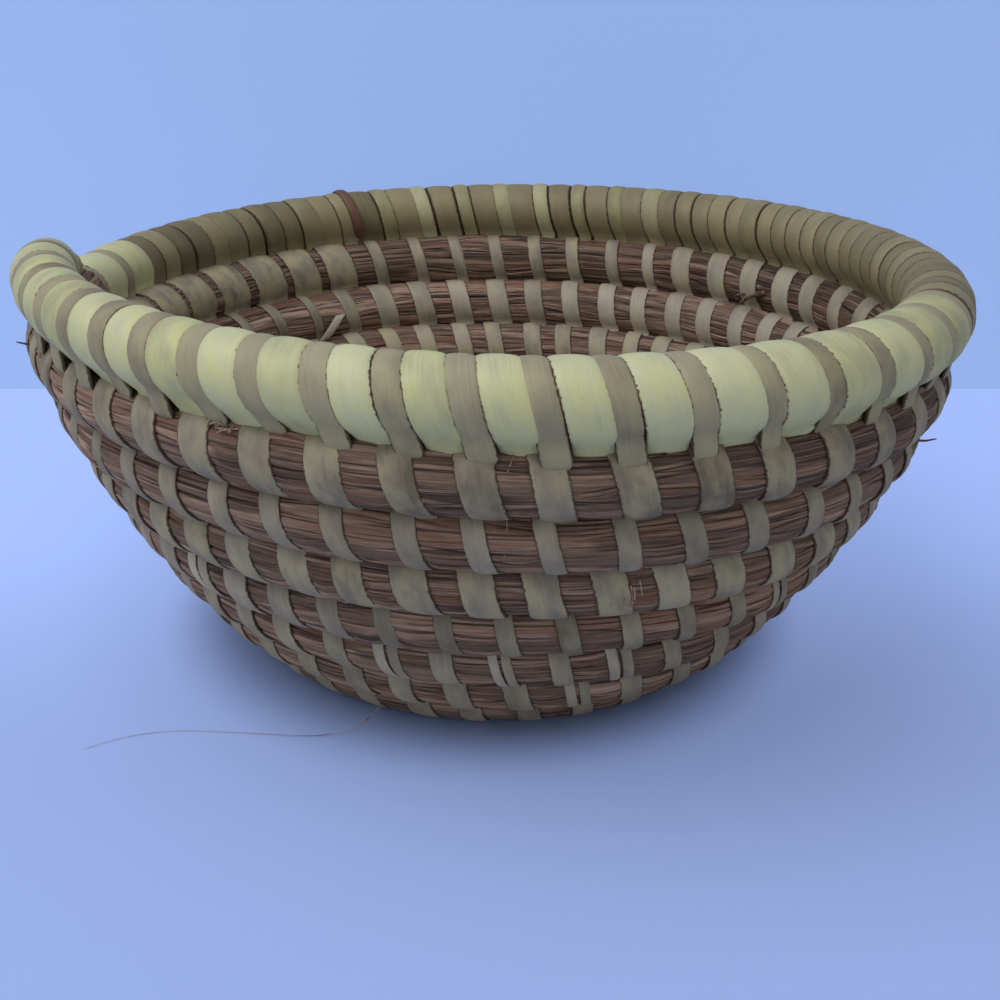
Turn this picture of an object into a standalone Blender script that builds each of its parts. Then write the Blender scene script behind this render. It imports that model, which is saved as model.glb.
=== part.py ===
# A coiled bowl basket. One long bundle of grass winds out from the middle of the base and up the wall,
# sewn with leaf strips, and a thicker rim bundle, whipped with cream and tan strips, closes the mouth.
# The coil runs clockwise seen from above and climbs one course a turn, ending on the left (-X) side.
import math
from bisect import bisect_right

import bmesh
import bpy
from mathutils import Vector

# Driving sizes in metres
CLEARANCE = 0.0003
BUNDLE_RADIUS = 0.00534
BUNDLE_SWELL = 0.0006
START_RADIUS = 0.0026
COURSE_GAP = 0.0004
BASE_REACH = 0.0552
WALL_SLANT = 0.0897
OVAL_AMOUNT = 0.0035
RIM_START_RADIUS = 0.0063
RIM_LAST_RADIUS = 0.0059
RIM_BULGE = 0.0008
RIM_TIP_RADIUS = 0.0036
RIM_GAP = 0.0004
SCARF_GAP = 0.0009
STRIP_THICKNESS = 0.0005
STRIP_CROWN = 0.0007
STRIP_WIDTH = 0.0066
STITCH_PITCH = 0.0114
BASE_STITCH_PITCH = 0.0150
RIM_STRIP_CROWN = 0.0007
RIM_CREAM_WIDTH = 0.0075

# Angles
WALL_LEAN = math.radians(66.8)
LIP_TURN = math.radians(9.6)
OVAL_DIRECTION = math.radians(-42.0)
END_ANGLE = math.radians(176.25)
RIM_LEAN_START = math.radians(54.0)
RIM_LEAN_END = math.radians(85.0)
RIM_LEAN_RISE = math.radians(11.8)

# Shares and counts
WALL_BEND = 0.179
LIP_SHARPNESS = 6
SEWING_STRIPS = 22
BASE_STRIPS = 4
RIBS = 48
RIM_PAIRS = 51
RIM_CREAM_STRIPS = 5
RIM_TAN_STRIPS = 4
SIDES = 6
CENTRE_STITCHES_PER_TURN = 12
POINTS_APART = 6
FIRST_TURN = 0.2
FIRST_STITCHED_TURN = 1.0
TWO_STITCH_RADIUS = 0.070
RIM_TAPER_SHARE = 0.06
END_GAP_SHARE = 0.07
WIDEST_STRIP_SHARE = 0.60
PROFILE_STEP = 0.0005

# Derived sizes: a strip stands off the flats of its bundle by the clearance
FLAT_SHARE = math.cos(math.pi / SIDES)
STAND_OFF = CLEARANCE / FLAT_SHARE + 0.5 * STRIP_THICKNESS * (1.0 - FLAT_SHARE)
SEWN_RISE = STAND_OFF + STRIP_CROWN
PITCH = 2.0 * (BUNDLE_RADIUS + SEWN_RISE) + BUNDLE_SWELL + COURSE_GAP
TURNS = (BASE_REACH + WALL_SLANT) / PITCH
BASE_HEIGHT = (BUNDLE_RADIUS + STAND_OFF + STRIP_THICKNESS) * FLAT_SHARE
RIM_STAND_OFF = STAND_OFF + CLEARANCE
RIM_RISE = RIM_STAND_OFF + RIM_STRIP_CROWN

# Cross sections of a strip as pairs of share across its width and height above the bundle
FLAT_SECTION = ((-0.5, 0.0), (0.5, 0.0), (0.5, STRIP_THICKNESS), (-0.5, STRIP_THICKNESS))
CROWNED_SECTION = ((-0.5, 0.0), (0.5, 0.0), (0.0, STRIP_CROWN))
RIM_SECTION = ((-0.5, 0.0), (0.5, 0.0), (0.0, RIM_STRIP_CROWN))

for old in list(bpy.data.objects):
    bpy.data.objects.remove(old, do_unlink=True)
basket = bpy.data.collections.new("coiled_basket")
bpy.context.scene.collection.children.link(basket)


def make_material(name, colour, roughness):
    material = bpy.data.materials.new(name)
    material.use_nodes = True
    shader = material.node_tree.nodes["Principled BSDF"]
    shader.inputs["Base Color"].default_value = (*colour, 1.0)
    shader.inputs["Roughness"].default_value = roughness
    shader.inputs["Metallic"].default_value = 0.0
    return material


GRASS = make_material("brown_grass", (0.20, 0.115, 0.060), 0.85)
RIM_GRASS = make_material("rim_grass", (0.23, 0.150, 0.085), 0.85)
OLIVE_LEAF = make_material("olive_leaf", (0.27, 0.255, 0.150), 0.60)
CREAM_LEAF = make_material("cream_leaf", (0.58, 0.60, 0.31), 0.50)
TAN_LEAF = make_material("tan_leaf", (0.27, 0.23, 0.14), 0.60)


def blend(share):
    share = min(max(share, 0.0), 1.0)
    return share * share * (3.0 - 2.0 * share)


def arch(start, end, rise, share):
    return start + (end - start) * share + 4.0 * rise * share * (1.0 - share)


# The bowl's half section, walked along its length: a flat base, then a wall that steepens to the lip
def make_profile():
    radii = [0.0]
    heights = [BASE_HEIGHT]
    reach = BASE_REACH + WALL_SLANT + PITCH
    for step in range(int(reach / PROFILE_STEP) + 2):
        along = step * PROFILE_STEP + 0.5 * PROFILE_STEP - BASE_REACH
        share = max(along, 0.0) / WALL_SLANT
        lean = WALL_LEAN * share**WALL_BEND + LIP_TURN * min(share, 1.0) ** LIP_SHARPNESS
        if along <= 0.0:
            lean = 0.0
        radii.append(radii[-1] + PROFILE_STEP * math.cos(lean))
        heights.append(heights[-1] + PROFILE_STEP * math.sin(lean))
    return radii, heights


PROFILE_RADII, PROFILE_HEIGHTS = make_profile()


def profile_at(along):
    place = max(along, 0.0) / PROFILE_STEP
    index = min(int(place), len(PROFILE_RADII) - 2)
    share = place - index
    radius = PROFILE_RADII[index] * (1.0 - share) + PROFILE_RADII[index + 1] * share
    height = PROFILE_HEIGHTS[index] * (1.0 - share) + PROFILE_HEIGHTS[index + 1] * share
    return radius, height


MOUTH_RADIUS = profile_at(BASE_REACH + WALL_SLANT)[0]


def angle_at(turn):
    return END_ANGLE - 2.0 * math.pi * (turn - TURNS)


def place_at(radius, height, turn):
    angle = angle_at(turn)
    oval = OVAL_AMOUNT * radius / MOUTH_RADIUS * math.cos(2.0 * (angle - OVAL_DIRECTION))
    return Vector(((radius + oval) * math.cos(angle), (radius + oval) * math.sin(angle), height))


def bundle_centre(turn):
    radius, height = profile_at(PITCH * turn)
    return place_at(radius, height, turn)


def bundle_radius(turn):
    start = blend((turn - FIRST_TURN) / (FIRST_STITCHED_TURN - FIRST_TURN))
    swell = BUNDLE_SWELL * min(max(turn - TURNS + 1.0, 0.0), 1.0)
    return START_RADIUS + (BUNDLE_RADIUS - START_RADIUS) * start + swell


# The rim bundle rides on the last course below it, leaning outwards, and thins out at its end
def rim_radius(share):
    radius = arch(RIM_START_RADIUS, RIM_LAST_RADIUS, RIM_BULGE, share)
    taper = blend((share - 1.0 + RIM_TAPER_SHARE) / RIM_TAPER_SHARE)
    return radius + (RIM_TIP_RADIUS - radius) * taper


def rim_centre(share):
    turn = TURNS - 1.0 + share
    radius, height = profile_at(PITCH * turn)
    seat = bundle_radius(turn) + SEWN_RISE + RIM_GAP + RIM_RISE + rim_radius(share)
    lean = arch(RIM_LEAN_START, RIM_LEAN_END, RIM_LEAN_RISE, share)
    return place_at(radius + seat * math.cos(lean), height + seat * math.sin(lean), turn)


# A coil is a list of points with their radii, each at a mark that counts the stitches from its start
class Coil:
    def __init__(self, marks, centres, radii):
        self.marks = marks
        self.centres = centres
        self.radii = radii
        self.sides = []
        self.ups = []
        last = len(centres) - 1
        for index in range(last + 1):
            ahead = (centres[min(index + 1, last)] - centres[index]).normalized()
            behind = (centres[index] - centres[max(index - 1, 0)]).normalized()
            along = (ahead + behind).normalized()
            side = Vector((-along.y, along.x, 0.0)).normalized()
            self.sides.append(side)
            self.ups.append(along.cross(side).normalized())

    def surface_point(self, mark, turn_angle, rise):
        index = min(max(bisect_right(self.marks, mark) - 1, 0), len(self.marks) - 2)
        share = (mark - self.marks[index]) / (self.marks[index + 1] - self.marks[index])
        ends = []
        for corner in (index, index + 1):
            arm = self.sides[corner] * math.cos(turn_angle) + self.ups[corner] * math.sin(turn_angle)
            ends.append(self.centres[corner] + arm * (self.radii[corner] + rise))
        return ends[0].lerp(ends[1], share)


# Stitches are marked from the outer end inwards. High on the wall they stand above each other in ribs
def stitch_turns():
    turns = [TURNS]
    while turns[-1] > FIRST_STITCHED_TURN:
        along = PITCH * turns[-1]
        spacing = STITCH_PITCH if along > BASE_REACH else BASE_STITCH_PITCH
        step = max(spacing / (2.0 * math.pi * profile_at(along)[0]), 1.0 / RIBS)
        turns.append(turns[-1] - min(step, 1.0 / CENTRE_STITCHES_PER_TURN))
    return turns[::-1]


# A strip's width as a share of the way from one stitch to the next
def strip_share(turns, stitch):
    step = turns[stitch + 1] - turns[stitch]
    spacing = 2.0 * math.pi * profile_at(PITCH * turns[stitch])[0] * step
    return min(STRIP_WIDTH / spacing, WIDEST_STRIP_SHARE)


def make_foundation():
    turns = stitch_turns()
    marks = []
    chosen = []
    steps = max(int((turns[0] - FIRST_TURN) * CENTRE_STITCHES_PER_TURN), 1)
    for step in range(steps):
        share = step / steps
        marks.append(step - steps)
        chosen.append(FIRST_TURN + (turns[0] - FIRST_TURN) * share)
    for mark, turn in enumerate(turns):
        wide = profile_at(PITCH * turn)[0] > TWO_STITCH_RADIUS
        if wide and (len(turns) - 1 - mark) % 2:
            continue
        marks.append(mark)
        chosen.append(turn)
    centres = [bundle_centre(turn) for turn in chosen]
    return Coil(marks, centres, [bundle_radius(turn) for turn in chosen]), turns


def make_rim():
    shares = [mark / RIM_PAIRS for mark in range(RIM_PAIRS + 1)]
    shares[0] = SCARF_GAP / (2.0 * math.pi * MOUTH_RADIUS)
    centres = [rim_centre(share) for share in shares]
    return Coil(list(range(RIM_PAIRS + 1)), centres, [rim_radius(share) for share in shares])


def add_bundle(name, coil, material):
    curve = bpy.data.curves.new(name, "CURVE")
    curve.dimensions = "3D"
    curve.twist_mode = "Z_UP"
    curve.bevel_depth = 1.0
    curve.bevel_resolution = SIDES // 2 - 2
    curve.use_fill_caps = True
    spline = curve.splines.new("POLY")
    spline.points.add(len(coil.centres) - 1)
    for point, centre, radius in zip(spline.points, coil.centres, coil.radii):
        point.co = (*centre, 1.0)
        point.radius = radius
    curve.materials.append(material)
    bundle = bpy.data.objects.new(name, curve)
    basket.objects.link(bundle)
    return bundle


# A strip winds up the outside of its bundle, over the top and down the inside, a corner a step
def add_strip(name, coil, section, width, rise, first_step, last_step, shift, material):
    rings = []
    for step in range(first_step, last_step + 1):
        middle = step / SIDES + shift
        turn_angle = 2.0 * math.pi * (step / SIDES - 0.5)
        ring = []
        for across, up in section:
            ring.append(coil.surface_point(middle + across * width, turn_angle, rise + up))
        rings.append(ring)
    rings[-1] = [before.lerp(after, 1.0 - END_GAP_SHARE) for before, after in zip(rings[-2], rings[-1])]
    sheet = bmesh.new()
    rows = [[sheet.verts.new(point) for point in ring] for ring in rings]
    sheet.faces.new(rows[0][::-1])
    sheet.faces.new(rows[-1])
    corners = len(section)
    for before, after in zip(rows, rows[1:]):
        for corner in range(corners):
            beside = (corner + 1) % corners
            sheet.faces.new((after[beside], after[corner], before[corner], before[beside]))
    mesh = bpy.data.meshes.new(name)
    sheet.to_mesh(mesh)
    sheet.free()
    mesh.materials.append(material)
    strip = bpy.data.objects.new(name, mesh)
    basket.objects.link(strip)
    return strip


def share_out(first_step, last_step, pieces):
    wraps = (last_step - first_step) / SIDES
    cuts = [first_step + SIDES * round(wraps * piece / pieces) for piece in range(pieces)]
    return list(zip(cuts, cuts[1:] + [last_step]))


def add_sewing(coil, turns):
    stitches = len(turns) - 1
    first_step = math.ceil(0.5 * strip_share(turns, 0) * SIDES)
    last_step = math.floor((stitches - 0.5 * strip_share(turns, stitches - 1)) * SIDES)
    spans = share_out(first_step, last_step, SEWING_STRIPS)
    for number, (start, end) in enumerate(spans, 1):
        section = FLAT_SECTION if number <= BASE_STRIPS else CROWNED_SECTION
        width = strip_share(turns, start // SIDES)
        add_strip(f"sewing_strip_{number:02d}", coil, section, width, STAND_OFF, start, end, 0.0, OLIVE_LEAF)
    return stitches


def add_whipping(coil):
    pair_pitch = 2.0 * math.pi * MOUTH_RADIUS / RIM_PAIRS
    cream = RIM_CREAM_WIDTH / pair_pitch
    tan = 1.0 - cream - 2.0 * CLEARANCE / pair_pitch / FLAT_SHARE
    for label, width, shift, pieces, material in (
        ("rim_cream_strip", cream, 0.0, RIM_CREAM_STRIPS, CREAM_LEAF),
        ("rim_tan_strip", tan, 0.5, RIM_TAN_STRIPS, TAN_LEAF),
    ):
        first_step = math.ceil((0.5 * width - shift) * SIDES) + 1
        last_step = math.floor((RIM_PAIRS - 0.5 * width - shift) * SIDES)
        for number, (start, end) in enumerate(share_out(first_step, last_step, pieces), 1):
            name = f"{label}_{number}"
            add_strip(name, coil, RIM_SECTION, width, RIM_STAND_OFF, start, end, shift, material)


# The least gap between two points of a coil that are some points apart along it
def least_gap(coil):
    least = MOUTH_RADIUS
    for index, (centre, radius) in enumerate(zip(coil.centres, coil.radii)):
        for other in range(index + POINTS_APART, len(coil.centres)):
            distance = (coil.centres[other] - centre).length - radius - coil.radii[other]
            least = min(least, distance)
    return least


# The spiral is a little lopsided, so the basket is moved until the origin is under its middle
def centre_basket():
    bpy.context.view_layer.update()
    corners = []
    for piece in basket.objects:
        if piece.type == "MESH":
            corners.extend(Vector(corner) for corner in piece.bound_box)
    shift = Vector((0.0, 0.0, 0.0))
    for axis in (0, 1):
        places = [corner[axis] for corner in corners]
        shift[axis] = -0.5 * (min(places) + max(places))
    for piece in basket.objects:
        piece.location = shift
    return shift


foundation, stitch_marks = make_foundation()
rim = make_rim()
add_bundle("foundation_coil", foundation, GRASS)
add_bundle("rim_coil", rim, RIM_GRASS)
stitch_count = add_sewing(foundation, stitch_marks)
add_whipping(rim)
moved = centre_basket()
print(f"turns {TURNS:.2f}, course pitch {PITCH * 1000:.2f} mm, stitches {stitch_count}")
print(f"coil points {len(foundation.centres)}, mouth radius {MOUTH_RADIUS * 1000:.1f} mm")
print(f"least gap of the coil to itself {least_gap(foundation) * 1000:.2f} mm")
print(f"least gap of the rim bundle to itself {least_gap(rim) * 1000:.2f} mm")
print(f"moved by {moved.x * 1000:.2f}, {moved.y * 1000:.2f} mm")
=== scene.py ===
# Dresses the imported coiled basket: grass bundles with their stems, every leaf stitch and the
# whipped rim. Lengths are in millimetres until a mesh is made.
import math

import bpy
import numpy as np
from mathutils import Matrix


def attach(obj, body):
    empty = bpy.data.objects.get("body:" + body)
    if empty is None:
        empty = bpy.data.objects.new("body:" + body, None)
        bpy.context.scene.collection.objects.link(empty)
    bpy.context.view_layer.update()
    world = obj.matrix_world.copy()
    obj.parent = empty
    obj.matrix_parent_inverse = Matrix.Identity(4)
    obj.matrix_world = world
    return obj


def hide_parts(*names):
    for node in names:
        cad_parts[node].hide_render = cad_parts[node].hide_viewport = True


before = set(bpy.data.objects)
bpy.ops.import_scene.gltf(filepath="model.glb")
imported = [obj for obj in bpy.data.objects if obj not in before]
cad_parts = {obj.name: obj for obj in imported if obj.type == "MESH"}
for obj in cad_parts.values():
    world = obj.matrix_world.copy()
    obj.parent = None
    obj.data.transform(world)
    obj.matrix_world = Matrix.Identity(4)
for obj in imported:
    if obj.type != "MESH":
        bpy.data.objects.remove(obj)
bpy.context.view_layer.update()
mm = 0.001
circle = 2 * math.pi
skyward = np.array([0.0, 0.0, 1.0])
luck = np.random.default_rng(11)

# The coil's route, as in the solids
route = {
    "baseReach": 55.2, "wallSlant": 89.7, "pitch": 13.84, "baseHeight": 5.387,
    "wallLean": 66.8, "wallBend": 0.179, "lipTurn": 9.6, "lipSharpness": 6,
    "oval": 3.5, "ovalWay": -42.0, "endAngle": 176.25, "moved": (1.44, -1.02),
    "bundle": 5.34, "startBundle": 3.4, "swell": 0.6, "firstTurn": 0.2,
    "tableReach": 165.0, "tableStep": 0.25, "smoothing": 24, "nearby": 0.002,
}
turnsInAll = (route["baseReach"] + route["wallSlant"]) / route["pitch"]
stepLong = route["tableStep"]
alongTable = np.arange(0.0, route["tableReach"], stepLong)
wallShare = np.maximum(alongTable + 0.5 * stepLong - route["baseReach"], 0.0) / route["wallSlant"]
leanTable = np.radians(route["wallLean"]) * wallShare ** route["wallBend"]
leanTable += np.radians(route["lipTurn"]) * np.minimum(wallShare, 1.0) ** route["lipSharpness"]
radiusTable = np.concatenate([[0.0], np.cumsum(stepLong * np.cos(leanTable))[:-1]])
heightTable = np.concatenate([[0.0], np.cumsum(stepLong * np.sin(leanTable))[:-1]])
heightTable += route["baseHeight"]
window = np.ones(2 * route["smoothing"] + 1) / (2 * route["smoothing"] + 1)
smoothLean = np.convolve(np.pad(leanTable, route["smoothing"], mode="edge"), window, mode="valid")


def unit(arrows):
    return arrows / np.maximum(np.linalg.norm(arrows, axis=-1, keepdims=True), 1e-9)


def dot(first, second):
    return (first * second).sum(axis=-1, keepdims=True)


def blend(share):
    share = np.clip(share, 0.0, 1.0)
    return share * share * (3.0 - 2.0 * share)


def arch(start, end, rise, share):
    return start + (end - start) * share + 4.0 * rise * share * (1.0 - share)


def lengthAlong(points):
    steps = np.linalg.norm(np.diff(points, axis=0), axis=1)
    return np.concatenate([[0.0], np.cumsum(steps)])


# Reads a table of (place, value) rows
def readAt(table, place):
    return np.interp(place, *zip(*table))


def radiusOf(turn):
    return np.interp(route["pitch"] * turn, alongTable, radiusTable)


def heightOf(turn):
    return np.interp(route["pitch"] * turn, alongTable, heightTable)


def girthOf(turn):
    return circle * radiusOf(turn)


mouthRadius = radiusOf(turnsInAll)


def angleAt(turn):
    return math.radians(route["endAngle"]) - circle * (turn - turnsInAll)


def placeAt(radius, height, turn):
    angle = angleAt(turn)
    longWay = np.cos(2.0 * (angle - math.radians(route["ovalWay"])))
    reach = radius + route["oval"] * radius / mouthRadius * longWay
    x = reach * np.cos(angle) + route["moved"][0]
    y = reach * np.sin(angle) + route["moved"][1]
    return np.stack([x, y, height], axis=-1)


def coilPoint(turn):
    return placeAt(radiusOf(turn), heightOf(turn), turn)


# Centre, heading, outward and upward arrows of a bundle at each turn
def frameFrom(pointAt, lean, turn):
    ahead = unit(pointAt(turn + route["nearby"]) - pointAt(turn - route["nearby"]))
    angle = angleAt(turn)
    outward = np.stack([np.cos(angle), np.sin(angle), np.zeros_like(angle)], axis=-1)
    upward = outward * np.cos(lean)[..., None] + skyward * np.sin(lean)[..., None]
    up = unit(upward - dot(upward, ahead) * ahead)
    return pointAt(turn), ahead, np.cross(up, ahead), up


def coilFrame(turn):
    return frameFrom(coilPoint, np.interp(route["pitch"] * turn, alongTable, smoothLean), turn)


def bundleScale(turn):
    start = blend((turn - route["firstTurn"]) / (1.0 - route["firstTurn"]))
    small = route["startBundle"] / route["bundle"]
    return small + (1.0 - small) * start


# Half sizes of a bundle's section: outwards through the wall, and up towards the next course
section = {"wallOut": 6.3, "baseOut": 4.6, "up": 7.1, "change": 16.0}


def halfSizes(turn):
    past = route["pitch"] * turn - route["baseReach"] + 0.5 * section["change"]
    inWall = blend(past / section["change"])
    out = section["baseOut"] + (section["wallOut"] - section["baseOut"]) * inWall
    return out * bundleScale(turn), section["up"] * bundleScale(turn)


# The rim's route, over the last turn of the coil
rimRoute = {
    "start": 6.3, "last": 5.9, "bulge": 0.8, "rise": 1.38, "seatGap": 1.48,
    "leanStart": 54.0, "leanEnd": 85.0, "leanRise": 11.8,
    "noseRadius": 4.2, "noseFrom": -0.012, "noseTo": 0.03,
    "tipRadius": 2.6, "tipFrom": 0.95, "tipTo": 1.012,
    "restFrom": 0.97, "restShare": 0.8, "restGap": 1.2,
}


def rimShare(turn):
    return turn - turnsInAll + 1.0


def rimRadius(share):
    radius = arch(rimRoute["start"], rimRoute["last"], rimRoute["bulge"], np.clip(share, 0.0, 1.0))
    nose = blend((share - rimRoute["noseFrom"]) / (rimRoute["noseTo"] - rimRoute["noseFrom"]))
    tip = blend((share - rimRoute["tipFrom"]) / (rimRoute["tipTo"] - rimRoute["tipFrom"]))
    radius = rimRoute["noseRadius"] + (radius - rimRoute["noseRadius"]) * nose
    return radius + (rimRoute["tipRadius"] - radius) * tip


def rimLean(turn):
    share = np.clip(rimShare(turn), 0.0, 1.0)
    return np.radians(arch(rimRoute["leanStart"], rimRoute["leanEnd"], rimRoute["leanRise"], share))


def rimSeated(turn):
    share = rimShare(turn)
    swell = route["swell"] * np.clip(share, 0.0, 1.0)
    seat = route["bundle"] + swell + rimRoute["seatGap"] + rimRoute["rise"] + rimRadius(share)
    radius = radiusOf(turn) + seat * np.cos(rimLean(turn))
    return placeAt(radius, heightOf(turn) + seat * np.sin(rimLean(turn)), turn)


# The last of the rim comes down onto its own start
def rimPoint(turn):
    share = rimShare(turn)
    reach = rimRadius(share - 1.0) + rimRadius(share) + rimRoute["restGap"]
    above = rimSeated(turn - 1.0) + reach[..., None] * skyward
    down = blend((share - rimRoute["restFrom"]) / (rimRoute["tipTo"] - rimRoute["restFrom"]))
    down = rimRoute["restShare"] * down[..., None]
    return rimSeated(turn) * (1.0 - down) + above * down


def rimFrame(turn):
    return frameFrom(rimPoint, rimLean(turn), turn)


def rimSizes(turn):
    radius = rimRadius(rimShare(turn))
    return radius, radius


print("routes ready")

leastHeight = 0.12                             # over the floor


# Joins parts into one mesh with their marks, and hands it to the frame
def makePiece(name, parts, finish, nodes):
    corners, faces, marks = [], [], {}
    first = 0
    for part in parts:
        corners.append(part["points"])
        faces.extend((np.asarray(face) + first).tolist() for face in part["faces"])
        for key, values in part["marks"].items():
            marks.setdefault(key, []).append(values)
        first += len(part["points"])
    corners = np.concatenate(corners)
    corners[:, 2] = np.maximum(corners[:, 2], leastHeight)
    mesh = bpy.data.meshes.new(name)
    mesh.from_pydata((corners * mm).tolist(), [], faces)
    for key, values in marks.items():
        values = np.concatenate(values)
        kind, field = ("FLOAT_VECTOR", "vector") if values.ndim == 2 else ("FLOAT", "value")
        layer = mesh.attributes.new(key, kind, "POINT")
        layer.data.foreach_set(field, values.astype(np.float32).ravel())
    mesh.polygons.foreach_set("use_smooth", [True] * len(mesh.polygons))
    mesh.materials.append(finish)
    piece = bpy.data.objects.new(name, mesh)
    bpy.context.scene.collection.objects.link(piece)
    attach(piece, "root")
    if nodes:
        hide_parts(*nodes)


# Faces between rings that follow one another
def gridFaces(rings, around):
    ring, corner = np.arange(rings - 1)[:, None] * around, np.arange(around)[None, :]
    here, beside = ring + corner, ring + (corner + 1) % around
    grid = np.stack([here, beside, beside + around, here + around], axis=-1)
    return grid.reshape(-1, 4).tolist()


# The grass bundles. Stems lie side by side round the bundle and wander along it
grass = {
    "strands": 28, "pointsPerStrand": 5, "ringEvery": 2.5, "fineSteps": 6000,
    "strandWidths": (0.4, 1.8), "ridge": 0.75, "ridgeLevel": 0.2, "ridgeSharpness": 0.5,
    "lift": 0.26, "waveSum": 2.2, "depth": 0.55, "depthSpread": 0.3, "leastDepth": 0.08,
    "pressed": 0.3, "flattened": 0.8, "stemLong": 55.0, "grainRadius": 6.5, "endOut": 0.8,
    "coilUneven": 0.2, "rimUneven": 0.03, "coilOver": 0.01, "rimFrom": -1.027, "rimTo": 0.0115,
    # Wavelengths of the slow changes
    "twists": 6, "twistWaves": (45.0, 140.0), "liftWaves": (26.0, 90.0),
    "depthWaves": (16.0, 70.0), "swingWaves": (30.0, 120.0),
    # Painted light and shade on the stems, by turns down from the rim's end: darker along most of
    # the course under the rim, lighter at the left ends of the top three courses and towards the
    # bottom
    "shades": ((0.0, -0.1), (0.14, -0.1), (0.2, 0.34), (0.9, 0.34), (1.0, -0.3), (1.15, -0.3),
               (1.22, 0.0), (2.0, -0.1), (2.15, -0.1), (2.22, 0.0), (4.0, 0.0), (5.0, -0.15)),
}


def waves(count, lengths):
    return [(luck.uniform(0.5, 1.0), circle / luck.uniform(*lengths), luck.uniform(0, circle))
            for _ in range(count)]


def sway(distance, count, lengths):
    return sum(size * np.sin(pace * distance + start)
               for size, pace, start in waves(count, lengths))


def grassBundle(frameAt, sizesAt, turns, unevenness, coverAt=None):
    fine = np.linspace(turns[0], turns[1], grass["fineSteps"])
    length = lengthAlong(frameAt(fine)[0])
    rings = int(length[-1] / grass["ringEvery"])
    distance = np.linspace(0.0, length[-1], rings)
    turn = np.interp(distance, length, fine)
    centre, ahead, out, up = frameAt(turn)
    outHalf, upHalf = sizesAt(turn)

    # Where the stems lie round the bundle
    strands, fineness = grass["strands"], grass["pointsPerStrand"]
    around = strands * fineness
    corner = np.arange(around)
    borders = np.concatenate([[0.0], np.cumsum(luck.uniform(*grass["strandWidths"], strands))])
    place = np.interp(corner / fineness, np.arange(strands + 1), borders * strands / borders[-1])
    turned = np.zeros((rings, around))
    for number in range(1, grass["twists"] + 1):
        size, pace, start = waves(1, grass["twistWaves"])[0]
        wave = number * circle * place / strands + pace * distance[:, None] + start
        turned += size / number * np.sin(wave)
    phi = circle / strands * (place[None, :] + turned)

    # How high each stem rises, and how deep the valleys between them are
    strand, share = corner // fineness, (corner % fineness) / fineness
    ridge = np.sin(math.pi * share) ** grass["ridgeSharpness"]
    lift, depth = [], []
    for _ in range(strands):
        lift.append(sway(distance, 3, grass["liftWaves"]) / grass["waveSum"])
        depth.append(grass["depth"] + grass["depthSpread"] * sway(distance, 3, grass["depthWaves"]))
    lift = np.stack(lift, axis=1)
    depth = np.clip(np.stack(depth, axis=1), grass["leastDepth"], 1.0)
    valley = depth[:, strand] * (1.0 - share) + depth[:, (strand + 1) % strands] * share
    valley = valley * (1.0 - ridge)[None, :]

    # Each stem has its own tone until the next one takes over
    stem = distance[:, None] / grass["stemLong"] + luck.uniform(0, 1, strands)[None, :]
    stemTones = luck.uniform(0, 1, (strands, int(length[-1] / grass["stemLong"]) + 3))
    tone = stemTones[np.arange(strands)[None, :], np.floor(stem).astype(int)]
    # Painted light and shade, course by course
    tone = tone - readAt(grass["shades"], turnsInAll - turn)[:, None]

    swing = unevenness * sway(distance, 4, grass["swingWaves"])
    rise = grass["ridge"] * (grass["ridgeLevel"] - valley)
    rise = rise + grass["lift"] * lift[:, strand] * ridge[None, :] + swing[:, None]
    if coverAt is not None:
        cover = coverAt(turn, phi) * np.sqrt(np.abs(np.cos(phi)))
        rise = rise * (1.0 - grass["flattened"] * cover) - grass["pressed"] * cover
    rise = rise * np.minimum(outHalf / section["baseOut"], 1.0)[:, None]
    across, tall = np.cos(phi), np.sin(phi)
    reachOut = ((outHalf[:, None] + rise) * across)[..., None]
    reachUp = ((upHalf[:, None] + rise) * tall)[..., None]
    where = centre[:, None] + out[:, None] * reachOut + up[:, None] * reachUp
    corners = np.concatenate([where.reshape(-1, 3), centre[:1] - ahead[:1] * grass["endOut"],
                              centre[-1:] + ahead[-1:] * grass["endOut"]])
    faces = gridFaces(rings, around)
    last, middle = (rings - 1) * around, rings * around
    for first in range(around):
        beside = (first + 1) % around
        faces.append([beside, first, middle])
        faces.append([last + first, last + beside, middle + 1])
    grain = np.stack([np.repeat(distance[:, None], around, 1), grass["grainRadius"] * across,
                      grass["grainRadius"] * tall], axis=-1).reshape(-1, 3)
    # The valley depth is also kept as the amount of shade painted into the hollows between the
    # stems
    return {"points": corners, "faces": faces, "marks": {
        "grain": np.concatenate([grain, grain[:1], grain[-1:]]),
        "hollow": np.concatenate([valley.reshape(-1), [1.0, 1.0]]),
        "tone": np.concatenate([tone[:, strand].reshape(-1), [0.2, 0.2]])}}


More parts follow.
